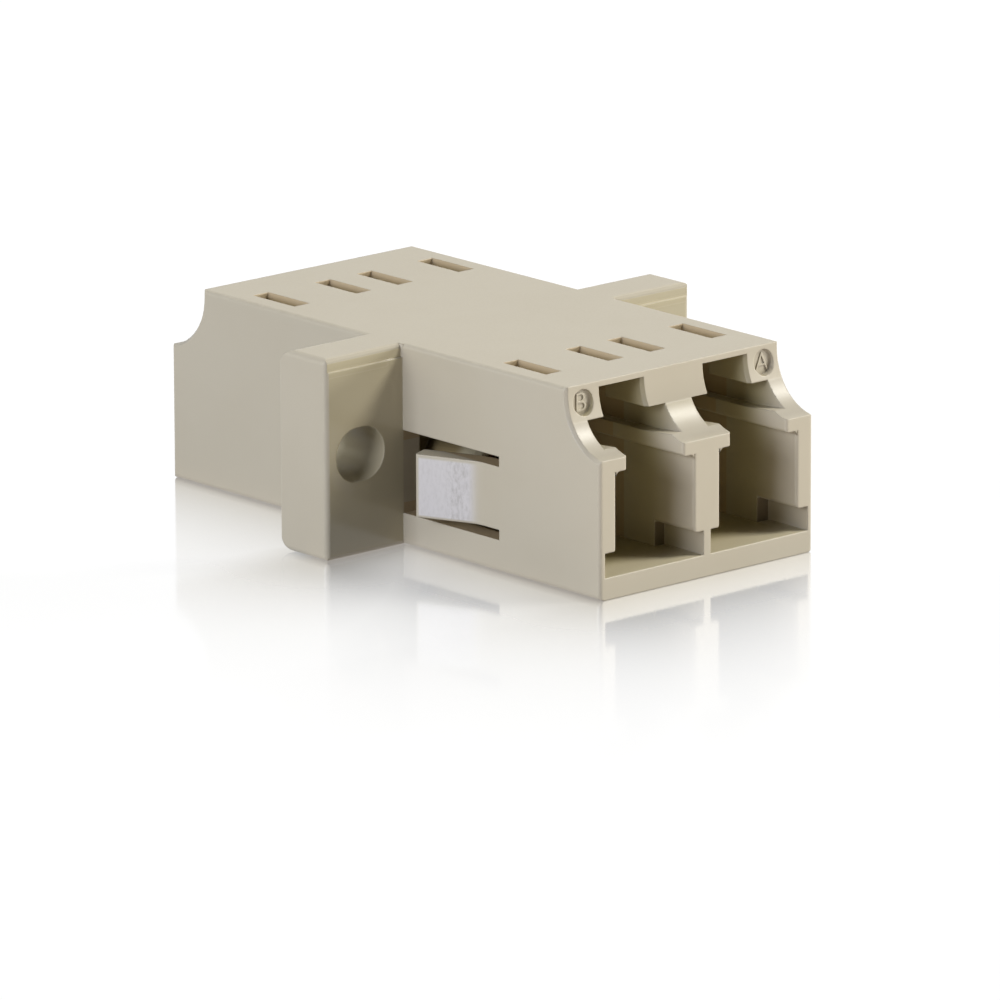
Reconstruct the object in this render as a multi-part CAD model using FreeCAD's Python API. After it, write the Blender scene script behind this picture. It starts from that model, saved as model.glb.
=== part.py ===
import FreeCAD, Part
import math
import os

# A duplex adapter for small-form fibre plugs. One moulded housing has two ports side by side at each end,
# a flange with two slotted screw holes, and a bent snap tab in each side wall. Between each pair of facing
# ports a split sleeve lines up the two ferrule tips. A barrel on the middle wall holds one half of the
# sleeve, and a retainer pressed into the wall from the far end holds the other.
# Millimetres. +X runs across the ports, +Y from the near end to the far end and +Z up. The origin is under
# the middle of the base.

# Body
body_width = 12.9
body_height = 9.35
body_length = 29.4
body_edge = 0.2             # rounding along the upper long edges and the upright end edges
base_edge = 0.3             # rounding along the two long edges of the base
arc_edge = 0.14             # chamfer where an arc meets a side face or a slot

# Shoulder: the upper part of each end stands back behind a concave arc
shoulder_setback = 2.25
shoulder_drop = 2.97        # from the top down to where the arc meets the end face
shoulder_radius = 2.7

# Ports, with distances into a port measured from its end face
port_pitch = 6.25
port_width = 4.66
port_floor = 1.02           # top of the floor plate
ledge_drop = 3.58           # from the top down to the underside of the ledges over the plug
ledge_thickness = 0.87      # of the ledges at the mouth
ledge_reach = 0.65          # how far a ledge stands out of the port's side
ledge_fall = 0.14           # how much lower the ledge is inside
ledge_fall_start = 0.85
ledge_fall_end = 2.6
ledge_root_radius = 0.2
ledge_tip_radius = 0.16
ledge_mouth_radius = 0.15   # rounding of each ledge's upright front edge
wall_mouth_radius = 0.15    # rounding of the port walls' upright front edges under the ledges

# Latch blocks, the slot between them, and the windows behind them
block_height = 1.59         # from the top down to the underside of the blocks
slot_width = 2.45
slot_skin = 0.27            # top plate over the slot
window_start = 4.65
window_length = 2.9
window_width = 0.93
window_skin = 0.75          # top plate that the windows go through
mark_diameter = 1.2         # round recess in each near outer block
mark_depth = 0.12
mark_drop = 0.82            # from the top down to the middle of the recess
mark_from_side = 1.0

# Foot pockets, where the port is widened beside the floor plate
pocket_top = 2.15
pocket_depth = 2.6
pocket_wall = 0.31          # outer wall left beside a pocket
pocket_corner = 0.22        # rounding of a port wall's foot over a pocket
web_thickness = 0.42        # web left between the two middle pockets

# Flange
flange_width = 22.05
flange_front = -1.5
flange_thickness = 3.2
flange_far_edge = 0.95      # rounding along the far top and bottom edges
flange_near_edge = 0.24     # rounding round the near face
flange_end_edge = 0.3       # rounding of the ears' ends at the top and bottom
flange_back_edge = 0.14     # rounding of the ears' far upright edges
hole_inset = 2.025          # from the end of an ear to the middle of its hole
hole_length = 2.86
hole_height = 2.5
band_height = 0.62          # shallow step along the top of the near face
band_end_depth = 0.03       # of the step at the end of an ear
band_root_depth = 0.12      # of the step where an ear meets the body

# Snap tabs, with distances along Y measured from the middle of the body
tab_low = 1.98
tab_high = 4.88
tab_slit = 0.48             # gap above and below the tab
tab_root = 8.0
tab_bend = 6.65
tab_tip = 3.73
tab_stand = 1.25            # how far the tip stands out of the side face
tab_bend_radius = 1.6
tab_tip_radius = 0.15

# Middle wall, barrels, sleeves and retainers
wall_thickness = 1.5
sleeve_bore = 1.25
sleeve_wall = 0.185
sleeve_length = 6.8
sleeve_slit = 0.25
sleeve_clearance = 0.06     # round the sleeve
sleeve_play = 0.1           # at each end of the sleeve
barrel_diameter = 3.0
barrel_chamfer = 0.25
lip_thickness = 0.6
ferrule_hole = 1.4
ferrule_chamfer = 0.3
collar_gap = 0.425          # between the collar and the port's floor or ledges
collar_thickness = 0.8
spigot_diameter = 2.5
spigot_length = 0.7
press_clearance = 0.02      # round and under the spigot

half_width = body_width / 2
half_length = body_length / 2
shoulder_height = body_height - shoulder_drop
ledge_under = body_height - ledge_drop
ledge_top = ledge_under + ledge_thickness
block_under = body_height - block_height
hole_pitch = flange_width - 2 * hole_inset
hole_level = body_height / 2
port_side = port_width / 2
port_centres = {"left": -port_pitch / 2, "right": port_pitch / 2}
side_wall = half_width - port_pitch / 2 - port_side
ledge_gap = port_width - 2 * ledge_reach
arc_centre_in = shoulder_setback - shoulder_radius
arc_centre_z = shoulder_height + math.sqrt(shoulder_radius ** 2 - arc_centre_in ** 2)
wall_face = wall_thickness / 2
port_depth = half_length - wall_face
sleeve_level = (port_floor + ledge_under) / 2
collar_diameter = ledge_under - port_floor - 2 * collar_gap
sleeve_radius = sleeve_bore / 2 + sleeve_wall
barrel_bore = sleeve_radius + sleeve_clearance
barrel_stop = sleeve_length / 2 + sleeve_play
barrel_end = barrel_stop + lip_thickness
past = 1.0                  # how far a cutting tool runs past what it cuts

ORIGIN = FreeCAD.Vector(0, 0, 0)
ALONG_X = FreeCAD.Vector(1, 0, 0)
ALONG_Y = FreeCAD.Vector(0, 1, 0)
ALONG_Z = FreeCAD.Vector(0, 0, 1)


def box(x_range, y_range, z_range):
    corner = FreeCAD.Vector(x_range[0], y_range[0], z_range[0])
    return Part.makeBox(x_range[1] - x_range[0], y_range[1] - y_range[0], z_range[1] - z_range[0], corner)


def rounded_outline(corners, place):
    """Face inside (u, v, radius) corners, rounded where a radius is given; place puts (u, v) in space."""
    bends = []
    for i, (u, v, radius) in enumerate(corners):
        here = FreeCAD.Vector(u, v, 0)
        before = FreeCAD.Vector(*corners[i - 1][:2], 0) - here
        after = FreeCAD.Vector(*corners[(i + 1) % len(corners)][:2], 0) - here
        if not radius:
            bends.append((here, here, here))
            continue
        half_angle = before.getAngle(after) / 2
        before.normalize()
        after.normalize()
        tangent = radius / math.tan(half_angle)
        inward = (before + after).normalize()
        middle = here + inward * (radius / math.sin(half_angle) - radius)
        bends.append((here + before * tangent, middle, here + after * tangent))
    edges = []
    for i, (start, middle, end) in enumerate(bends):
        previous_end = bends[i - 1][2]
        if previous_end.distanceToPoint(start) > 1e-7:
            edges.append(Part.LineSegment(place(*previous_end[:2]), place(*start[:2])).toShape())
        if start.distanceToPoint(end) > 1e-7:
            edges.append(Part.Arc(place(*start[:2]), place(*middle[:2]), place(*end[:2])).toShape())
    return Part.Face(Part.Wire(edges))


def edge_waste(corner, to_first, to_second, radius):
    """Face between a sharp corner and its rounding, with to_first and to_second along the two sides."""
    first = corner + to_first * radius
    second = corner + to_second * radius
    middle = corner + (to_first + to_second) * (radius * (1 - math.sqrt(0.5)))
    outline = [
        Part.LineSegment(corner, first),
        Part.Arc(first, middle, second),
        Part.LineSegment(second, corner),
    ]
    return Part.Face(Part.Wire([piece.toShape() for piece in outline]))


def turned(corners, centre, level):
    """Solid turned round a port's axis from (radius, y) corners."""
    points = [FreeCAD.Vector(centre + radius, y, level) for radius, y in corners]
    face = Part.Face(Part.makePolygon(points + points[:1]))
    return face.revolve(FreeCAD.Vector(centre, 0, level), ALONG_Y, 360)


def both_ends(near):
    return near.fuse(near.mirror(ORIGIN, ALONG_Y))


def shoulder_arc(end):
    """The concave arc of one end, from the end face up to the set-back face; end is -1 or +1."""
    start_turn = math.asin(-arc_centre_in / shoulder_radius)
    middle_turn = (start_turn + math.pi / 2) / 2

    def at(turn):
        inward = arc_centre_in + shoulder_radius * math.sin(turn)
        z = arc_centre_z - shoulder_radius * math.cos(turn)
        return FreeCAD.Vector(-half_width, end * (half_length - inward), z)

    return [at(start_turn), at(middle_turn), at(math.pi / 2)]


def arc_edge_waste(x, outward, end, top):
    """What chamfers the edge at x of one end's arc, and of the set-back face above it up to top."""
    side = ALONG_X * outward
    out = ALONG_Y * end
    axis = FreeCAD.Vector(x, end * (half_length - arc_centre_in), arc_centre_z)
    corner = axis - out * shoulder_radius
    points = [
        corner - side * arc_edge,
        corner - side * arc_edge + out * past,
        corner + side * past + out * past,
        corner + side * past - out * arc_edge,
        corner - out * arc_edge,
    ]
    face = Part.Face(Part.makePolygon(points + points[:1]))
    upright = face.extrude(ALONG_Z * (top - arc_centre_z))
    return upright.fuse(face.revolve(axis, ALONG_X, end * 90))


def body_block():
    """The body's outside: its side, front and top views, each pushed through, have it in common."""
    near_low, near_middle, near_high = shoulder_arc(-1)
    far_low, far_middle, far_high = shoulder_arc(1)
    set_back = half_length - shoulder_setback
    base_near = FreeCAD.Vector(-half_width, -half_length, 0)
    base_far = FreeCAD.Vector(-half_width, half_length, 0)
    top_near = FreeCAD.Vector(-half_width, -set_back, body_height)
    top_far = FreeCAD.Vector(-half_width, set_back, body_height)
    outline = [
        Part.LineSegment(base_near, base_far),
        Part.LineSegment(base_far, far_low),
        Part.Arc(far_low, far_middle, far_high),
        Part.LineSegment(far_high, top_far),
        Part.LineSegment(top_far, top_near),
        Part.LineSegment(top_near, near_high),
        Part.Arc(near_high, near_middle, near_low),
        Part.LineSegment(near_low, base_near),
    ]
    side_view = Part.Face(Part.Wire([piece.toShape() for piece in outline]))
    front_view = rounded_outline([
        (-half_width, 0, base_edge),
        (half_width, 0, base_edge),
        (half_width, body_height, body_edge),
        (-half_width, body_height, body_edge),
    ], lambda u, v: FreeCAD.Vector(u, -half_length, v))
    top_view = rounded_outline([
        (-half_width, -half_length, body_edge),
        (half_width, -half_length, body_edge),
        (half_width, half_length, body_edge),
        (-half_width, half_length, body_edge),
    ], lambda u, v: FreeCAD.Vector(u, v, 0))
    block = side_view.extrude(ALONG_X * body_width)
    block = block.common(front_view.extrude(ALONG_Y * body_length))
    block = block.common(top_view.extrude(ALONG_Z * body_height))
    for side in (-1, 1):
        for end in (-1, 1):
            block = block.cut(arc_edge_waste(side * half_width, side, end, body_height + past))
    return block


def flange_step():
    """What the step takes off the left ear's near top, which also rounds off the edge over the step."""
    end = FreeCAD.Vector(-flange_width / 2, flange_front + band_end_depth, body_height)
    root = FreeCAD.Vector(-half_width, flange_front + band_root_depth, body_height)
    slant = (end - root) / (end - root).Length
    outside = end + slant * past
    points = [
        outside,
        root,
        FreeCAD.Vector(root.x, flange_front - past, body_height),
        FreeCAD.Vector(outside.x, flange_front - past, body_height),
    ]
    face = Part.Face(Part.makePolygon(points + points[:1]))
    face.translate(ALONG_Z * -band_height)
    step = face.extrude(ALONG_Z * (band_height + past))
    edge = edge_waste(outside, slant.cross(ALONG_Z), -ALONG_Z, flange_near_edge)
    return step.fuse(edge.extrude(root - outside))


def flange_plate():
    """The flange: its side, top and front views have it in common, less the steps and the slotted screw holes."""
    flange_back = flange_front + flange_thickness
    half_flange = flange_width / 2
    side_view = rounded_outline([
        (flange_front, 0, flange_near_edge),
        (flange_back, 0, flange_far_edge),
        (flange_back, body_height, flange_far_edge),
        (flange_front, body_height, 0),
    ], lambda u, v: FreeCAD.Vector(-half_flange, u, v))
    top_view = rounded_outline([
        (-half_flange, flange_front, flange_near_edge),
        (half_flange, flange_front, flange_near_edge),
        (half_flange, flange_back, flange_back_edge),
        (-half_flange, flange_back, flange_back_edge),
    ], lambda u, v: FreeCAD.Vector(u, v, 0))
    front_view = rounded_outline([
        (-half_flange, 0, flange_end_edge),
        (half_flange, 0, flange_end_edge),
        (half_flange, body_height, flange_end_edge),
        (-half_flange, body_height, flange_end_edge),
    ], lambda u, v: FreeCAD.Vector(u, flange_front, v))
    plate = side_view.extrude(ALONG_X * flange_width)
    plate = plate.common(top_view.extrude(ALONG_Z * body_height))
    plate = plate.common(front_view.extrude(ALONG_Y * flange_thickness))
    left_step = flange_step()
    plate = plate.cut(left_step).cut(left_step.mirror(ORIGIN, ALONG_X))
    end_radius = hole_height / 2
    for x in (-hole_pitch / 2, hole_pitch / 2):
        corners = [
            (x - hole_length / 2, hole_level - end_radius, end_radius),
            (x + hole_length / 2, hole_level - end_radius, end_radius),
            (x + hole_length / 2, hole_level + end_radius, end_radius),
            (x - hole_length / 2, hole_level + end_radius, end_radius),
        ]
        slot = rounded_outline(corners, lambda u, v: FreeCAD.Vector(u, flange_front - past, v))
        plate = plate.cut(slot.extrude(ALONG_Y * (flange_thickness + 2 * past)))
    return plate


def port_void(centre):
    """What one near port leaves open, from outside its mouth to the middle wall."""
    mouth = -half_length - past
    gap = ledge_gap / 2
    plug_section = [
        (centre - port_side, port_floor, 0),
        (centre + port_side, port_floor, 0),
        (centre + port_side, ledge_under, ledge_root_radius),
        (centre + gap, ledge_under, ledge_tip_radius),
        (centre + gap, block_under, 0),
        (centre - gap, block_under, 0),
        (centre - gap, ledge_under, ledge_tip_radius),
        (centre - port_side, ledge_under, ledge_root_radius),
    ]
    plug_face = rounded_outline(plug_section, lambda u, v: FreeCAD.Vector(u, mouth, v))
    plug_way = plug_face.extrude(ALONG_Y * (port_depth + past))

    inside_top = ledge_top - ledge_fall
    channel_section = [
        (-half_length - past, ledge_top, 0),
        (-half_length + ledge_fall_start, ledge_top, 0),
        (-half_length + ledge_fall_end, inside_top, 0),
        (-wall_face, inside_top, 0),
        (-wall_face, block_under, 0),
        (-half_length - past, block_under, 0),
    ]
    channel_face = rounded_outline(channel_section, lambda u, v: FreeCAD.Vector(centre - port_side, u, v))
    channel = channel_face.extrude(ALONG_X * port_width)

    window_y = (-half_length + window_start, -half_length + window_start + window_length)
    slot = box((centre - slot_width / 2, centre + slot_width / 2), (mouth, window_y[0] + past),
               (ledge_top, body_height - slot_skin))
    latch_pocket = box((centre - port_side, centre + port_side), window_y,
                       (ledge_top, body_height - window_skin))
    void = plug_way.fuse([channel, slot, latch_pocket])
    for side in (-1, 1):
        edges = sorted((centre + side * port_side, centre + side * (port_side - window_width)))
        void = void.fuse(box(edges, window_y, (block_under, body_height + past)))
    return void


def mouth_waste(centre):
    """What rounds off one near port's mouth: the walls' and ledges' edges and the blocks' edges at the slot."""
    waste = []
    for side in (-1, 1):
        wall_side = centre + side * port_side
        wall_foot = FreeCAD.Vector(wall_side, -half_length - past, pocket_top)
        foot_face = edge_waste(wall_foot, ALONG_X * side, ALONG_Z, pocket_corner)
        waste.append(foot_face.extrude(ALONG_Y * (past + pocket_depth)))
        wall_front = FreeCAD.Vector(wall_side, -half_length, pocket_top)
        front_face = edge_waste(wall_front, ALONG_X * side, ALONG_Y, wall_mouth_radius)
        waste.append(front_face.extrude(ALONG_Z * (ledge_under - pocket_top)))
        ledge_front = FreeCAD.Vector(centre + side * ledge_gap / 2, -half_length, ledge_under)
        ledge_face = edge_waste(ledge_front, ALONG_X * side, ALONG_Y, ledge_mouth_radius)
        waste.append(ledge_face.extrude(ALONG_Z * (ledge_top - ledge_under)))
        slot_side = centre + side * slot_width / 2
        waste.append(arc_edge_waste(slot_side, -side, -1, body_height - slot_skin))
    return waste[0].fuse(waste[1:])


def foot_pockets():
    """The widened foot of the near port mouths: two outer pockets and two beside the middle web."""
    depth = (-half_length - past, -half_length + pocket_depth)
    height = (port_floor, pocket_top)
    pockets = []
    for centre in port_centres.values():
        side = math.copysign(1, centre)
        edges = sorted((side * web_thickness / 2, side * (half_width - pocket_wall)))
        pockets.append(box(edges, depth, height))
    return pockets[0].fuse(pockets[1])


def marks():
    """Round recesses in the set-back faces of the two near outer blocks."""
    face_y = -half_length + shoulder_setback
    discs = []
    for side in (-1, 1):
        start = FreeCAD.Vector(side * (half_width - mark_from_side), face_y - past, body_height - mark_drop)
        discs.append(Part.makeCylinder(mark_diameter / 2, past + mark_depth, start, ALONG_Y))
    return discs[0].fuse(discs[1])


def barrel_void(centre):
    """Bore for the sleeve, the lip's ferrule hole with its lead-in, and the seat of the retainer's spigot."""
    hole = ferrule_hole / 2
    return turned([
        (0, -barrel_end - past),
        (hole + ferrule_chamfer + past, -barrel_end - past),
        (hole, -barrel_end + ferrule_chamfer),
        (hole, -barrel_stop),
        (barrel_bore, -barrel_stop),
        (barrel_bore, wall_face - spigot_length - press_clearance),
        (spigot_diameter / 2 + press_clearance, wall_face - spigot_length - press_clearance),
        (spigot_diameter / 2 + press_clearance, wall_face + past),
        (0, wall_face + past),
    ], centre, sleeve_level)


def barrel(centre):
    """The housing's own barrel, standing on the near face of the middle wall."""
    radius = barrel_diameter / 2
    return turned([
        (0, 0),
        (radius, 0),
        (radius, -barrel_end + barrel_chamfer),
        (radius - barrel_chamfer, -barrel_end),
        (0, -barrel_end),
    ], centre, sleeve_level)


def tab_window():
    """Opening in the left side wall round the snap tab, from its root to the flange."""
    return box((-half_width - past, -half_width + side_wall), (-tab_root, flange_front),
               (tab_low - tab_slit, tab_high + tab_slit))


def snap_tab():
    """Left snap tab: the side wall carried on from its root, then bent outwards to a free end."""
    lean = math.atan2(tab_stand, tab_bend - tab_tip)
    outer = -half_width
    inner = -half_width + side_wall
    inner_bend = -tab_bend + side_wall * math.tan(lean / 2)
    tip_outer = (outer - tab_stand, -tab_tip)
    tip_inner = (tip_outer[0] + side_wall * math.cos(lean), tip_outer[1] + side_wall * math.sin(lean))
    corners = [
        (outer, -tab_root - side_wall, 0),
        (outer, -tab_bend, tab_bend_radius),
        (*tip_outer, tab_tip_radius),
        (*tip_inner, tab_tip_radius),
        (inner, inner_bend, tab_bend_radius + side_wall),
        (inner, -tab_root - side_wall, 0),
    ]
    face = rounded_outline(corners, lambda u, v: FreeCAD.Vector(u, v, tab_low))
    return face.extrude(ALONG_Z * (tab_high - tab_low))


def housing():
    solid = body_block().fuse(flange_plate())
    near_voids = foot_pockets()
    for centre in port_centres.values():
        near_voids = near_voids.fuse([port_void(centre), mouth_waste(centre)])
    solid = solid.cut(both_ends(near_voids)).cut(marks())
    for centre in port_centres.values():
        solid = solid.fuse(barrel(centre)).cut(barrel_void(centre))
    left_window = tab_window()
    left_tab = snap_tab()
    for window, tab in ((left_window, left_tab),
                        (left_window.mirror(ORIGIN, ALONG_X), left_tab.mirror(ORIGIN, ALONG_X))):
        solid = solid.cut(window).fuse(tab)
    return solid.removeSplitter()


def sleeve_retainer(centre):
    """Round moulding: spigot in the wall, collar against its far face, barrel with an end lip."""
    radius = barrel_diameter / 2
    hole = ferrule_hole / 2
    return turned([
        (barrel_bore, wall_face - spigot_length),
        (spigot_diameter / 2, wall_face - spigot_length),
        (spigot_diameter / 2, wall_face),
        (collar_diameter / 2, wall_face),
        (collar_diameter / 2, wall_face + collar_thickness),
        (radius, wall_face + collar_thickness),
        (radius, barrel_end - barrel_chamfer),
        (radius - barrel_chamfer, barrel_end),
        (hole + ferrule_chamfer, barrel_end),
        (hole, barrel_end - ferrule_chamfer),
        (hole, barrel_stop),
        (barrel_bore, barrel_stop),
    ], centre, sleeve_level)


def alignment_sleeve(centre):
    """Split tube: the slit lets it spring open round the ferrules."""
    half = sleeve_length / 2
    tube = turned([
        (sleeve_bore / 2, -half),
        (sleeve_radius, -half),
        (sleeve_radius, half),
        (sleeve_bore / 2, half),
    ], centre, sleeve_level)
    slit = box((centre - sleeve_slit / 2, centre + sleeve_slit / 2), (-half - past, half + past),
               (sleeve_level, sleeve_level + sleeve_radius + past))
    return tube.cut(slit)


os.makedirs("parts", exist_ok=True)
pieces = {"housing": housing()}
for name, centre in port_centres.items():
    pieces[f"{name}_sleeve_retainer"] = sleeve_retainer(centre)
    pieces[f"{name}_alignment_sleeve"] = alignment_sleeve(centre)
for name, shape in pieces.items():
    solids = shape.Solids
    print(name, "valid", shape.isValid(), "solids", len(solids), "volume", round(shape.Volume, 3))
    shape = solids[0] if len(solids) == 1 else shape
    shape.exportStep(f"parts/{name}.step")
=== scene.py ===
import math

import bpy
import numpy as np
from mathutils import Matrix, Vector


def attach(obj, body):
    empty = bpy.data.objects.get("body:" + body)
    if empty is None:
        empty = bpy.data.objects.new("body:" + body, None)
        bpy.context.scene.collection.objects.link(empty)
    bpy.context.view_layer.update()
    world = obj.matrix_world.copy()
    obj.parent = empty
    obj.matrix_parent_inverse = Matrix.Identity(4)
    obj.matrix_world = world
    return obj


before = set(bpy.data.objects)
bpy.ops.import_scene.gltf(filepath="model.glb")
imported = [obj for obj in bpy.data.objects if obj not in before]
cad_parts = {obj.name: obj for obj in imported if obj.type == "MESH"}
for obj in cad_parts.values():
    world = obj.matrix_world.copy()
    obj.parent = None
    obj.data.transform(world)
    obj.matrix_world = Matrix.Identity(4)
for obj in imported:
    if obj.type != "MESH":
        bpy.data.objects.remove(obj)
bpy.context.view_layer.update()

# Housing: one injection moulding in beige resin, with the ports, the flange and the bent snap tabs all in one.
# The mould was spark-eroded and leaves a satin skin, except for the flange's two faces, which were polished.
# The bent faces of the tabs are paler and rough, where a core slid out past them.
MM = 0.001
body_half_width, body_half_length = 6.45 * MM, 14.7 * MM
port_half_width = 5.45 * MM
port_floor_level, port_roof_level = 1.02 * MM, 9.05 * MM
flange_half_width, flange_half_length, flange_middle = 11.025 * MM, 1.6 * MM, 0.1 * MM
edge_softness = 0.09 * MM
resin_colour = (0.470, 0.424, 0.332, 1)
resin_shade = (0.442, 0.392, 0.298, 1)
speck_colour = (0.115, 0.085, 0.050, 1)
tab_colour = (0.612, 0.584, 0.570, 1)
tab_shade = (0.430, 0.404, 0.380, 1)
# Tints for painted shade in gaps, ports, pockets, roundings and arcs, and painted warm light on the flange.
gap_painted_shade = (0.96, 0.85, 0.70, 1)
port_painted_shade = (0.73, 0.70, 0.50, 1)
deep_painted_shade = (0.50, 0.43, 0.31, 1)
flange_painted_warm_light = (1.0, 0.985, 0.87, 1)
top_edge_painted_shade = (0.72, 0.71, 0.68, 1)
step_painted_shade = (0.93, 0.92, 0.89, 1)
pocket_painted_shade = (0.48, 0.42, 0.33, 1)
port_floor_painted_shade = (0.95, 0.935, 0.83, 1)
arc_painted_shade = (0.82, 0.82, 0.83, 1)


def node(tree, kind, feeds=(), **fields):
    """A new shader node. Fields are its own settings; feeds gives inputs, by place or name, a value or a socket."""
    made = tree.nodes.new("ShaderNode" + kind)
    for field, value in fields.items():
        setattr(made, field, value)
    for key, value in feeds.items() if isinstance(feeds, dict) else enumerate(feeds):
        if isinstance(value, bpy.types.NodeSocket):
            tree.links.new(value, made.inputs[key])
        elif value is not None:
            made.inputs[key].default_value = value
    return made


def math_node(tree, operation, *feeds, clamp=False):
    """The result of one operation on the feeds, as a socket."""
    return node(tree, "Math", feeds, operation=operation, use_clamp=clamp).outputs[0]


def product(tree, first, *others):
    """All the feeds multiplied together."""
    for other in others:
        first = math_node(tree, "MULTIPLY", first, other)
    return first


def rest_of(tree, share):
    """What a share leaves over: one less the share."""
    return math_node(tree, "SUBTRACT", 1.0, share)


def ramp(tree, value, low, high, to_low=0.0, to_high=1.0):
    """Smooth step: to_low where value is under low, to_high where it is over high."""
    feeds = {"Value": value, "From Min": low, "From Max": high, "To Min": to_low, "To Max": to_high}
    return node(tree, "MapRange", feeds, interpolation_type="SMOOTHSTEP").outputs[0]


def past(tree, value, edge, blend):
    """Smooth step from 0 to 1 as value passes the edge, over the blend on each side of it."""
    return ramp(tree, value, edge - blend, edge + blend)


def short_of(tree, value, edge, blend):
    """Smooth step from 1 to 0 as value passes the edge, over the blend on each side of it."""
    return ramp(tree, value, edge - blend, edge + blend, 1.0, 0.0)


def within(tree, value, middle, reach):
    """1 where value is no further than reach from the middle, and 0 elsewhere."""
    return math_node(tree, "COMPARE", value, middle, reach)


def distance(tree, value, middle):
    """How far value is from the middle, on either side of it."""
    return math_node(tree, "ABSOLUTE", math_node(tree, "SUBTRACT", value, middle))


def mix_colours(tree, share, first, second, blend="MIX"):
    """First colour where share is 0, second where it is 1. With MULTIPLY, the second tints the first instead."""
    feeds = {0: share, 6: first, 7: second}
    return node(tree, "Mix", feeds, data_type="RGBA", blend_type=blend).outputs[2]


def new_group(name, inputs, outputs):
    """An empty shader group with its sockets, and its two end nodes."""
    group = bpy.data.node_groups.new(name, "ShaderNodeTree")
    for label, kind in inputs:
        group.interface.new_socket(label, in_out="INPUT", socket_type=kind)
    for label in outputs:
        group.interface.new_socket(label, in_out="OUTPUT", socket_type="NodeSocketFloat")
    return group, group.nodes.new("NodeGroupInput"), group.nodes.new("NodeGroupOutput")


# Resin skin: cloudy flow of the colour a few millimetres wide, fine eroded grain, and a rare dark speck.
skin_group, skin_in, skin_out = new_group(
    "resin_skin", [("Point", "NodeSocketVector")], ["Flow", "Grain", "Speck"])
point = skin_in.outputs["Point"]
flow = node(skin_group, "TexNoise", {"Vector": point, "Scale": 260.0, "Detail": 3.0, "Roughness": 0.55})
grain = node(skin_group, "TexNoise", {"Vector": point, "Scale": 13000.0, "Detail": 2.0, "Roughness": 0.6})
cells = node(skin_group, "TexVoronoi", {"Vector": point, "Scale": 240.0, "Randomness": 1.0})
chosen = math_node(skin_group, "GREATER_THAN", cells.outputs["Color"], 0.62)
dot = short_of(skin_group, cells.outputs["Distance"], 0.014, 0.004)
skin_group.links.new(ramp(skin_group, flow.outputs["Fac"], 0.35, 0.70), skin_out.inputs["Flow"])
skin_group.links.new(grain.outputs["Fac"], skin_out.inputs["Grain"])
skin_group.links.new(product(skin_group, chosen, dot), skin_out.inputs["Speck"])


def new_material(name):
    """A material with its Principled shader and the coordinates that its patterns follow."""
    material = bpy.data.materials.new(name)
    material.use_nodes = True
    tree = material.node_tree
    return material, tree, tree.nodes["Principled BSDF"], node(tree, "TexCoord")


def place_group(tree, group, **feeds):
    """A group placed in a material, with its inputs linked by name."""
    made = node(tree, "Group", node_tree=group)
    for label, socket in feeds.items():
        tree.links.new(socket, made.inputs[label])
    return made


resin, tree, shader, coordinates = new_material("beige_resin")
point = coordinates.outputs["Object"]
skin = place_group(tree, skin_group, Point=point)
x, y, z = node(tree, "SeparateXYZ", [point]).outputs
out_from_middle = math_node(tree, "ABSOLUTE", x)
from_middle = math_node(tree, "ABSOLUTE", y)
facing = node(tree, "SeparateXYZ", [coordinates.outputs["Normal"]]).outputs
sideways, across, upward = (math_node(tree, "ABSOLUTE", part) for part in facing)

# The tabs' outer faces: how far a point stands out along the slant of a tab, the same on both sides.
# The streaks that the core left are coarsest across the bend.
tab_bend, tab_tip, tab_stand = 6.65 * MM, 3.73 * MM, 1.25 * MM
tab_low, tab_high = 2.07 * MM, 4.73 * MM
tab_lean = math.atan2(tab_stand, tab_bend - tab_tip)
along_slant = math_node(tree, "MULTIPLY", out_from_middle, math.cos(tab_lean))
stands_out = math_node(tree, "MULTIPLY_ADD", y, -math.sin(tab_lean), along_slant)
slant_level = body_half_width * math.cos(tab_lean) + tab_bend * math.sin(tab_lean)
tab_mask = product(
    tree,
    past(tree, stands_out, slant_level - 0.035 * MM, 0.015 * MM),
    past(tree, out_from_middle, body_half_width + 0.115 * MM, 0.115 * MM),
    short_of(tree, y, -tab_tip - 0.16 * MM, 0.06 * MM),
    past(tree, z, tab_low, 0.05 * MM),
    short_of(tree, z, tab_high, 0.07 * MM))
rough_from, rough_to = -6.15 * MM, -5.25 * MM
rough_zone = product(tree, past(tree, y, rough_from, 0.25 * MM), short_of(tree, y, rough_to, 0.25 * MM))
streaks = node(tree, "TexNoise", {
    "Vector": node(tree, "Mapping", {"Vector": point, "Scale": (1.0, 1.0, 0.45)}).outputs[0],
    "Scale": 7500.0, "Detail": 3.0, "Roughness": 0.65}).outputs["Fac"]

# The latch blocks' faces, and the concave arcs of the ends below them.
shoulder, block_low, block_high = 12.25 * MM, 7.73 * MM, 9.17 * MM
on_end = past(tree, from_middle, shoulder, 0.05 * MM)
on_block = product(
    tree, past(tree, across, 0.83, 0.03), on_end,
    past(tree, z, block_low, 0.07 * MM), short_of(tree, z, block_high, 0.07 * MM))
off_block = rest_of(tree, on_block)
# The arcs are painted a little darker, as painted shade on the light that they catch.
on_arc = product(tree, past(tree, across, 0.235, 0.115), past(tree, upward, 0.235, 0.115), on_end, off_block)

# Inside the ports the colour is painted browner as painted shade, which fades in over the mouths and is milder
# behind them.
mouth_middle, mouth_reach = 12.7 * MM, 1.1 * MM
inside = product(
    tree,
    short_of(tree, from_middle, mouth_middle, mouth_reach),
    short_of(tree, out_from_middle, port_half_width + 0.035 * MM, 0.015 * MM),
    past(tree, z, 0.40 * MM, 0.10 * MM),
    short_of(tree, z, port_roof_level, 0.15 * MM),
    off_block,
    ramp(tree, from_middle, 9.0 * MM, 11.2 * MM, 0.60, 1.0))
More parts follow.
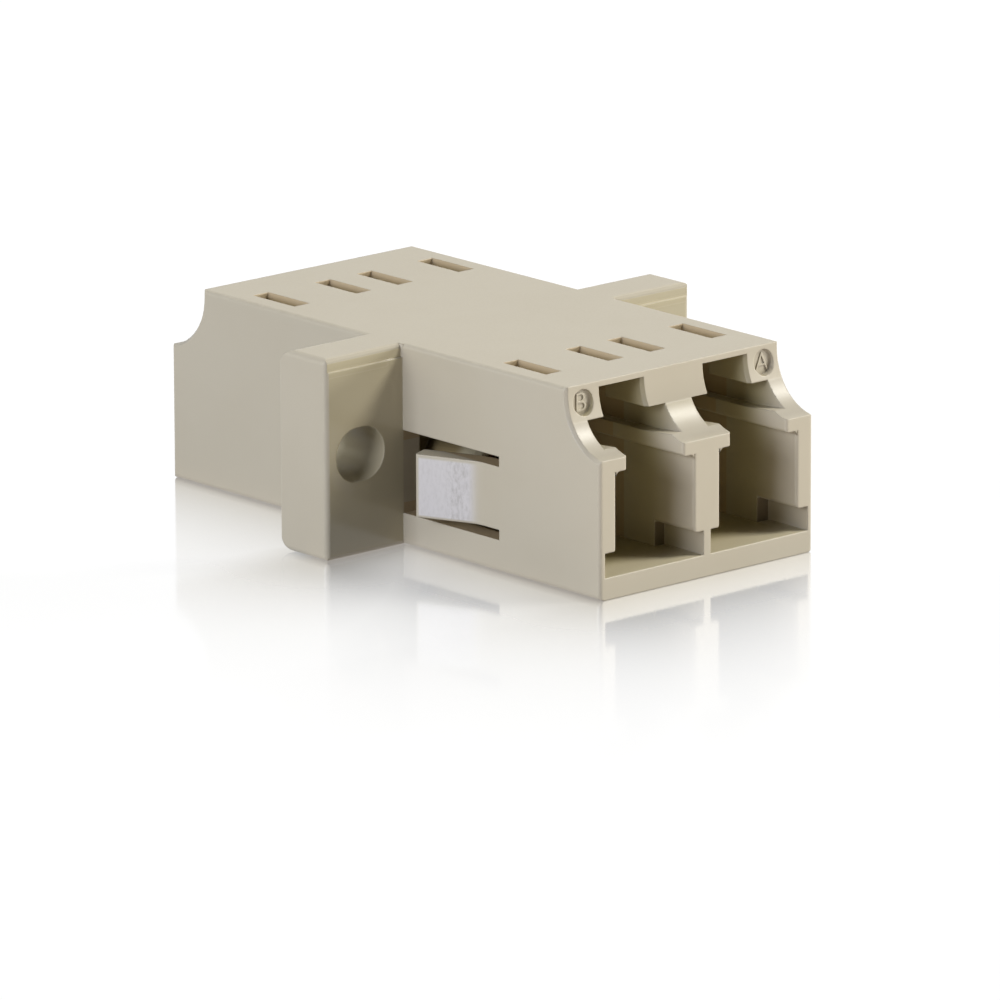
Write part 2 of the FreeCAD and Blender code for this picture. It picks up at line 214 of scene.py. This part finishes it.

# The flange's two polished faces, the walls of its holes, and the roundings along its top and its shallow step.
# The faces and hole walls get a warmer tint as painted warm light, and the roundings a darker one as painted shade.
hole_from_middle, hole_level = 9.0 * MM, 4.675 * MM
hole_half_width, hole_half_height = 1.45 * MM, 1.27 * MM
step_level = 8.64 * MM
from_flange_middle = distance(tree, y, flange_middle)
on_flange_face = product(
    tree,
    within(tree, from_flange_middle, flange_half_length - 0.05 * MM, 0.10 * MM),
    past(tree, across, 0.9915, 0.0065),
    past(tree, out_from_middle, body_half_width - 0.02 * MM, 0.03 * MM))
in_hole = product(
    tree,
    within(tree, out_from_middle, hole_from_middle, hole_half_width),
    within(tree, z, hole_level, hole_half_height),
    math_node(tree, "LESS_THAN", from_flange_middle, flange_half_length - 0.003 * MM))
on_flange = math_node(tree, "MAXIMUM", on_flange_face, in_hole)
by_flange_edge = product(
    tree,
    within(tree, from_flange_middle, flange_half_length - 0.10 * MM, 0.22 * MM),
    short_of(tree, sideways, 0.275, 0.125))
on_top_edge = product(
    tree, by_flange_edge,
    past(tree, out_from_middle, body_half_width + 0.04 * MM, 0.03 * MM),
    past(tree, upward, 0.175, 0.125),
    short_of(tree, upward, 0.85, 0.10),
    past(tree, z, step_level + 0.26 * MM, 0.05 * MM))
on_step = product(
    tree, by_flange_edge,
    short_of(tree, distance(tree, z, step_level), 0.18 * MM, 0.06 * MM),
    past(tree, out_from_middle, body_half_width + 0.90 * MM, 0.25 * MM))
polished = product(tree, on_flange_face, rest_of(tree, on_step))

# The inner ends of the foot pockets, and the floor of the ports.
# The pocket ends are painted darker and the port floor warmer, both as painted shade.
pocket_depth, pocket_height = 12.10 * MM, 2.15 * MM
pocket_end = product(
    tree,
    past(tree, across, 0.875, 0.075),
    within(tree, from_middle, pocket_depth, 0.05 * MM),
    short_of(tree, z, pocket_height, 0.05 * MM))
on_port_floor = product(
    tree,
    past(tree, upward, 0.875, 0.075),
    within(tree, z, port_floor_level, 0.03 * MM),
    math_node(tree, "LESS_THAN", out_from_middle, body_half_width - 0.25 * MM))

# The walls of the latch windows and of the slits above and below a tab, painted warmer as painted shade.
# The end of a tab's opening and the middle wall between the ports lie deepest, and get the brownest painted shade.
window_middle, window_half_length = 8.60 * MM, 1.455 * MM
tab_level, opening_half_height, opening_end = 3.43 * MM, 1.94 * MM, -1.45 * MM
slit_from_level, slit_half_height = 1.69 * MM, 0.242 * MM
slit_middle, slit_half_length = -4.75 * MM, 3.255 * MM
wall_half = 3.0 * MM
in_window = product(
    tree,
    within(tree, from_middle, window_middle, window_half_length),
    short_of(tree, upward, 0.45, 0.15),
    short_of(tree, out_from_middle, port_half_width + 0.02 * MM, 0.01 * MM))
from_tab_level = distance(tree, z, tab_level)
in_slit = product(
    tree,
    within(tree, from_tab_level, slit_from_level, slit_half_height),
    within(tree, y, slit_middle, slit_half_length),
    short_of(tree, out_from_middle, body_half_width - 0.03 * MM, 0.02 * MM),
    past(tree, out_from_middle, port_half_width, 0.01 * MM))
in_gap = math_node(tree, "MAXIMUM", in_window, in_slit)
by_tip = product(
    tree,
    within(tree, y, opening_end, 0.12 * MM),
    math_node(tree, "LESS_THAN", from_tab_level, opening_half_height),
    short_of(tree, out_from_middle, body_half_width - 0.01 * MM, 0.02 * MM))
deep = product(
    tree,
    short_of(tree, from_middle, wall_half, 0.4 * MM),
    short_of(tree, out_from_middle, port_half_width + 0.02 * MM, 0.03 * MM),
    short_of(tree, z, port_roof_level, 0.15 * MM))
deep = math_node(tree, "MAXIMUM", deep, math_node(tree, "MULTIPLY", by_tip, 0.55))
deep = math_node(tree, "MAXIMUM", deep, math_node(tree, "MULTIPLY", in_slit, 0.35))

# Colour: the cloudy resin, tinted place by place as painted shade and warm light, then the tabs' worn faces and
# specks.
cloudy = math_node(tree, "MULTIPLY", skin.outputs["Flow"], 0.30)
colour = mix_colours(tree, cloudy, resin_colour, resin_shade)
for share, tint in (
        (in_gap, gap_painted_shade), (inside, port_painted_shade), (deep, deep_painted_shade), (on_flange, flange_painted_warm_light),
        (on_top_edge, top_edge_painted_shade), (on_step, step_painted_shade), (pocket_end, pocket_painted_shade),
        (on_port_floor, port_floor_painted_shade), (on_arc, arc_painted_shade)):
    colour = mix_colours(tree, share, colour, tint, "MULTIPLY")
worn_share = math_node(tree, "MULTIPLY_ADD", rough_zone, 0.55, 0.25)
worn_share = product(tree, ramp(tree, streaks, 0.36, 0.74), worn_share)
colour = mix_colours(tree, tab_mask, colour, mix_colours(tree, worn_share, tab_colour, tab_shade))
specks = math_node(tree, "MULTIPLY", skin.outputs["Speck"], 0.6)
tree.links.new(mix_colours(tree, specks, colour, speck_colour), shader.inputs["Base Color"])

# Gloss: satin, a little duller on faces across the ports. The flange's faces are polished and the arcs smoother,
# while the flange's roundings and the tabs' worn faces are dull.
satin, satin_across = 0.42, 0.46
gloss = ramp(tree, across, 0.15, 0.60, satin, satin_across)
dull_rounding = math_node(tree, "MAXIMUM", on_top_edge, on_step)
for share, change in ((polished, -0.30), (on_arc, -0.07), (dull_rounding, 0.14), (tab_mask, 0.30)):
    gloss = math_node(tree, "MULTIPLY_ADD", share, change, gloss)
gloss = math_node(tree, "ADD", gloss, ramp(tree, skin.outputs["Grain"], 0.3, 0.7, -0.03, 0.03), clamp=True)
tree.links.new(gloss, shader.inputs["Roughness"])

# Relief: the eroded grain, the streaks of the tabs, and the cutter's fine lines down the concave arcs of the ends.
grain_depth = 0.0010 * MM
down_arc = node(tree, "Mapping", {"Vector": point, "Scale": (1.0, 0.02, 0.02)}).outputs[0]
arc_lines = node(tree, "TexNoise", {"Vector": down_arc, "Scale": 11000.0, "Detail": 2.0, "Roughness": 0.6})
line_height = product(tree, arc_lines.outputs["Fac"], on_arc, 6.0)
streak_height = product(tree, streaks, math_node(tree, "MULTIPLY_ADD", rough_zone, 12.0, 6.0), tab_mask)
height = math_node(tree, "ADD", skin.outputs["Grain"], math_node(tree, "ADD", streak_height, line_height))

# Edges are shaded soft. The latch blocks' faces are shaded as upright ones, without the lean of the arc that they
# end in, and the round recesses and their letters softer than they are cut.
recess_from_middle, recess_level, recess_floor = 5.45 * MM, 8.53 * MM, -12.33 * MM
recess_radius = 0.62 * MM
to_recess = node(tree, "CombineXYZ", [
    math_node(tree, "SUBTRACT", out_from_middle, recess_from_middle), math_node(tree, "SUBTRACT", z, recess_level)])
from_recess = node(tree, "VectorMath", [to_recess.outputs[0]], operation="LENGTH").outputs["Value"]
in_recess = product(
    tree,
    short_of(tree, from_recess, recess_radius, 0.02 * MM),
    within(tree, y, recess_floor - 0.07 * MM, 0.12 * MM))
softer = math_node(tree, "MULTIPLY_ADD", in_recess, -0.60, 1.0)
upright_share = product(tree, on_block, ramp(tree, out_from_middle, 3.5 * MM, 4.5 * MM, 1.0, 0.65))
soft_edges = node(tree, "Bevel", {"Radius": edge_softness}, samples=8)
soft_x, soft_y, soft_z = node(tree, "SeparateXYZ", [soft_edges.outputs["Normal"]]).outputs
upright = node(tree, "CombineXYZ", [
    product(tree, soft_x, softer), soft_y, product(tree, soft_z, rest_of(tree, upright_share), softer)])
shaded = node(tree, "VectorMath", [upright.outputs[0]], operation="NORMALIZE").outputs[0]
bump = node(tree, "Bump", {"Strength": 1.0, "Distance": grain_depth, "Height": height, "Normal": shaded})
tree.links.new(bump.outputs["Normal"], shader.inputs["Normal"])


def dress(node_name, material):
    """Gives a CAD node one material all over."""
    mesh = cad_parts[node_name].data
    mesh.materials.clear()
    mesh.materials.append(material)


dress("housing", resin)

# Port letters: the two letters that tell the ports apart, raised from the floor of the round recesses at the near
# end. They are part of the same moulding, cut into the mould with a fine round tool.
letter_height, letter_thinning = 0.86 * MM, 0.012
letter_rise, letter_sink = 0.045 * MM, 0.02 * MM


def port_letter(letter, x):
    """Letter as a mesh: drawn flat and centred, scaled to its height, then stood up to face the near end."""
    drawing = bpy.data.curves.new("port_letter_drawing", "FONT")
    drawing.body = letter
    drawing.size = 1.0
    drawing.offset = -letter_thinning
    drawing.extrude = 0.5
    drawing.resolution_u = 6
    drawn = bpy.data.objects.new("port_letter_drawing", drawing)
    mesh = bpy.data.meshes.new_from_object(drawn)
    bpy.data.objects.remove(drawn)
    bpy.data.curves.remove(drawing)
    mesh.name = "port_letter_" + letter
    points = np.empty(len(mesh.vertices) * 3)
    mesh.vertices.foreach_get("co", points)
    points = points.reshape(-1, 3)
    low, high = points.min(axis=0), points.max(axis=0)
    flat = (points - (low + high) / 2) * letter_height / (high[1] - low[1])
    depth = np.where(points[:, 2] > 0, -letter_rise, letter_sink)
    stood = np.column_stack([flat[:, 0] + x, recess_floor + depth, flat[:, 1] + recess_level])
    mesh.vertices.foreach_set("co", stood.ravel())
    mesh.update()
    mesh.materials.clear()
    mesh.materials.append(resin)
    piece = bpy.data.objects.new(mesh.name, mesh)
    bpy.context.scene.collection.objects.link(piece)
    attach(piece, "root")


port_letter("B", -recess_from_middle)
port_letter("A", recess_from_middle)

# Sleeve retainers: short turned-looking barrels moulded in a paler, duller resin, pressed into the middle wall
# from the far end so that they trap the sleeves.
retainer_colour = (0.610, 0.575, 0.500, 1)
retainer_shade = (0.560, 0.520, 0.440, 1)
retainer_grain = 0.0015 * MM
retainer_resin, tree, shader, coordinates = new_material("retainer_resin")
skin = place_group(tree, skin_group, Point=coordinates.outputs["Object"])
colour = mix_colours(tree, skin.outputs["Flow"], retainer_colour, retainer_shade)
tree.links.new(colour, shader.inputs["Base Color"])
tree.links.new(ramp(tree, skin.outputs["Grain"], 0.3, 0.7, 0.46, 0.56), shader.inputs["Roughness"])
bump = node(tree, "Bump", {"Strength": 1.0, "Distance": retainer_grain, "Height": skin.outputs["Grain"]})
tree.links.new(bump.outputs["Normal"], shader.inputs["Normal"])
for side in ("left", "right"):
    dress(side + "_sleeve_retainer", retainer_resin)

# Alignment sleeves: split tubes of phosphor bronze, drawn and then honed inside, which hold two ferrules in line.
# Drawing leaves fine lines along the tube, and the bare metal has a faint uneven tarnish.
bronze_colour = (0.780, 0.520, 0.310, 1)
tarnish_colour = (0.520, 0.310, 0.170, 1)
drawn_depth = 0.0006 * MM
bronze, tree, shader, coordinates = new_material("phosphor_bronze")
point = coordinates.outputs["Object"]
drawn_lines = node(tree, "TexNoise", {
    "Vector": node(tree, "Mapping", {"Vector": point, "Scale": (1.0, 0.02, 1.0)}).outputs[0],
    "Scale": 16000.0, "Detail": 2.0}).outputs["Fac"]
tarnish = node(tree, "TexNoise", {"Vector": point, "Scale": 900.0, "Detail": 4.0})
tarnish_share = ramp(tree, tarnish.outputs["Fac"], 0.45, 0.75, 0.0, 0.55)
tree.links.new(mix_colours(tree, tarnish_share, bronze_colour, tarnish_colour), shader.inputs["Base Color"])
tree.links.new(ramp(tree, drawn_lines, 0.3, 0.7, 0.20, 0.38), shader.inputs["Roughness"])
shader.inputs["Metallic"].default_value = 1.0
bump = node(tree, "Bump", {"Strength": 1.0, "Distance": drawn_depth, "Height": drawn_lines})
tree.links.new(bump.outputs["Normal"], shader.inputs["Normal"])
for side in ("left", "right"):
    dress(side + "_alignment_sleeve", bronze)

# Floor, light and camera: a white table with a soft polish, in white surroundings. A lamp from above, in front and
# to the right lights the top and the port side, helped by a low one. A wide cool lamp lights the long side from the
# left, and a weak one stands behind it. The table sends a little warm light back up in front and along the base.
floor_half = 3.0
table_grey, table_glow = 0.20, 0.80
far_grey, far_glow = 0.04, 1.0
front_bounce, close_bounce = 0.53, 0.26
front_bounce_reach, close_bounce_reach = 2.8 * MM, 1.2 * MM
bounce_colour = (1.0, 0.86, 0.74, 1)
mirror_most, mirror_roughness = 0.80, 0.085
mirror_reach, mirror_front_reach = 6.0 * MM, 6.4 * MM
floor_mesh = bpy.data.meshes.new("floor")
corners = np.array([(-1, -1, 0), (1, -1, 0), (1, 1, 0), (-1, 1, 0)], float) * floor_half
floor_mesh.from_pydata(corners.tolist(), [], [(0, 1, 2, 3)])
floor = bpy.data.objects.new("floor", floor_mesh)
bpy.context.scene.collection.objects.link(floor)

table_white = bpy.data.materials.new("table_white")
table_white.use_nodes = True
tree = table_white.node_tree
tree.nodes.clear()
point = node(tree, "TexCoord").outputs["Object"]
x, y, _ = node(tree, "SeparateXYZ", [point]).outputs


def outside_box(tree, point, half_x, half_y, middle_y):
    """Distance on the floor from a point to an upright box with these half sizes."""
    moved = node(tree, "VectorMath", [point, (0, middle_y, 0)], operation="SUBTRACT").outputs[0]
    size = node(tree, "VectorMath", [moved], operation="ABSOLUTE").outputs[0]
    beyond = node(tree, "VectorMath", [size, (half_x, half_y, 1.0)], operation="SUBTRACT").outputs[0]
    beyond = node(tree, "VectorMath", [beyond, (0, 0, 0)], operation="MAXIMUM").outputs[0]
    return node(tree, "VectorMath", [beyond], operation="LENGTH").outputs["Value"]


def seen_share(tree):
    """1 for what the camera sees, straight or in gloss or glass, 0 for rays that carry light from matt surfaces."""
    path = node(tree, "LightPath")
    mirrored = math_node(tree, "MAXIMUM", path.outputs["Is Glossy Ray"], path.outputs["Is Transmission Ray"])
    straight = math_node(tree, "LESS_THAN", path.outputs["Diffuse Depth"], 0.5)
    return math_node(tree, "MAXIMUM", path.outputs["Is Camera Ray"], product(tree, mirrored, straight))


# The polish: the table mirrors what stands on it, and less with the distance from its base. Beside the far half of
# the object, the flange counts as further away.
from_body = outside_box(tree, point, body_half_width, body_half_length, 0.0)
from_flange = outside_box(tree, point, flange_half_width, flange_half_length, flange_middle)
from_flange = math_node(tree, "ADD", from_flange, ramp(tree, y, -1.0 * MM, 4.0 * MM, 0.0, 6.0 * MM))
nearest = math_node(tree, "MINIMUM", from_body, from_flange)
reach = ramp(tree, y, -15.5 * MM, -13.5 * MM, mirror_front_reach, mirror_reach)
falloff = math_node(tree, "DIVIDE", math_node(tree, "MULTIPLY", nearest, -1.0), reach)
mirror_share = product(
    tree, math_node(tree, "POWER", math.e, falloff), mirror_most, node(tree, "LightPath").outputs["Is Camera Ray"])
mirror = node(tree, "BsdfAnisotropic", {"Color": (1, 1, 1, 1), "Roughness": mirror_roughness})

# The white: mostly glow for what the camera sees, with a grey under it that takes the shadows. Across the table,
# behind the object, there is more glow and fainter shadow.
seen = seen_share(tree)
further_back = math_node(tree, "MULTIPLY_ADD", x, 0.88, y)
behind = past(tree, further_back, -12.0 * MM, 3.0 * MM)
grey = math_node(tree, "MULTIPLY_ADD", product(tree, behind, seen), far_grey - table_grey, table_grey)
matt = node(tree, "BsdfDiffuse", {"Color": grey})
glow_level = math_node(tree, "MULTIPLY_ADD", behind, far_glow - table_glow, table_glow)
glow = node(tree, "Emission", {"Strength": product(tree, seen, glow_level)})
in_front = ramp(tree, y, -body_half_length - front_bounce_reach, -body_half_length, front_bounce, 0.0)
close_by = ramp(tree, nearest, 0.0, close_bounce_reach, close_bounce, 0.0)
bounce_level = product(tree, math_node(tree, "MAXIMUM", in_front, close_by), rest_of(tree, seen))
bounce = node(tree, "Emission", {"Color": bounce_colour, "Strength": bounce_level})
lit = node(tree, "AddShader", [glow.outputs[0], bounce.outputs[0]])
white = node(tree, "AddShader", [matt.outputs[0], lit.outputs[0]])
table = node(tree, "MixShader", [mirror_share, white.outputs[0], mirror.outputs[0]])
node(tree, "OutputMaterial", {"Surface": table.outputs[0]})
floor_mesh.materials.append(table_white)

world = bpy.data.worlds.new("tent")
world.use_nodes = True
bpy.context.scene.world = world
tree = world.node_tree
tent = tree.nodes["Background"]
tent.inputs["Color"].default_value = (1, 1, 1, 1)
tree.links.new(seen_share(tree), tent.inputs["Strength"])


def area_lamp(name, place, width, height, watts, colour):
    """A rectangular lamp at a place in metres, that shines at the middle of the object."""
    data = bpy.data.lights.new(name, "AREA")
    data.shape = "RECTANGLE"
    data.size, data.size_y = width, height
    data.energy = watts
    data.color = colour
    lamp = bpy.data.objects.new(name, data)
    lamp.location = place
    lamp.rotation_euler = (object_middle - Vector(place)).to_track_quat("-Z", "Y").to_euler()
    bpy.context.scene.collection.objects.link(lamp)


object_middle = Vector((0, 0, 0.004))
area_lamp("key_lamp", (0.28, -0.20, 0.37), 0.14, 0.14, 2.33, (1.0, 0.985, 0.93))
area_lamp("right_lamp", (0.42, -0.30, 0.10), 0.20, 0.14, 1.72, (1.0, 1.0, 0.96))
area_lamp("left_lamp", (-0.47, -0.03, 0.16), 0.30, 0.22, 2.28, (0.865, 0.90, 1.0))
area_lamp("back_lamp", (-0.40, 0.26, 0.20), 0.30, 0.22, 0.42, (1.0, 0.98, 0.80))

# The camera looks past the origin from its azimuth and elevation. Its offset is to the right, up and back, in mm.
camera_azimuth, camera_elevation, camera_roll = (math.radians(t) for t in (-41.539, 14.763, -0.198))
camera_offset = (0.516, 0.641, 493.465)
back = Vector((math.sin(camera_azimuth) * math.cos(camera_elevation),
               -math.cos(camera_azimuth) * math.cos(camera_elevation), math.sin(camera_elevation)))
right = Vector((math.cos(camera_azimuth), math.sin(camera_azimuth), 0))
up = back.cross(right)
right, up = (math.cos(camera_roll) * right + math.sin(camera_roll) * up,
             math.cos(camera_roll) * up - math.sin(camera_roll) * right)
camera_data = bpy.data.cameras.new("camera")
camera_data.sensor_width = 36.0
camera_data.lens = 389.48
camera_data.clip_start, camera_data.clip_end = 0.01, 20.0
camera = bpy.data.objects.new("camera", camera_data)
turn = Matrix((right, up, back)).transposed().to_4x4()
camera.matrix_world = Matrix.Translation(
    (camera_offset[0] * right + camera_offset[1] * up + camera_offset[2] * back) * MM) @ turn
bpy.context.scene.collection.objects.link(camera)
bpy.context.scene.camera = camera
bpy.context.scene.view_settings.view_transform = "Standard"
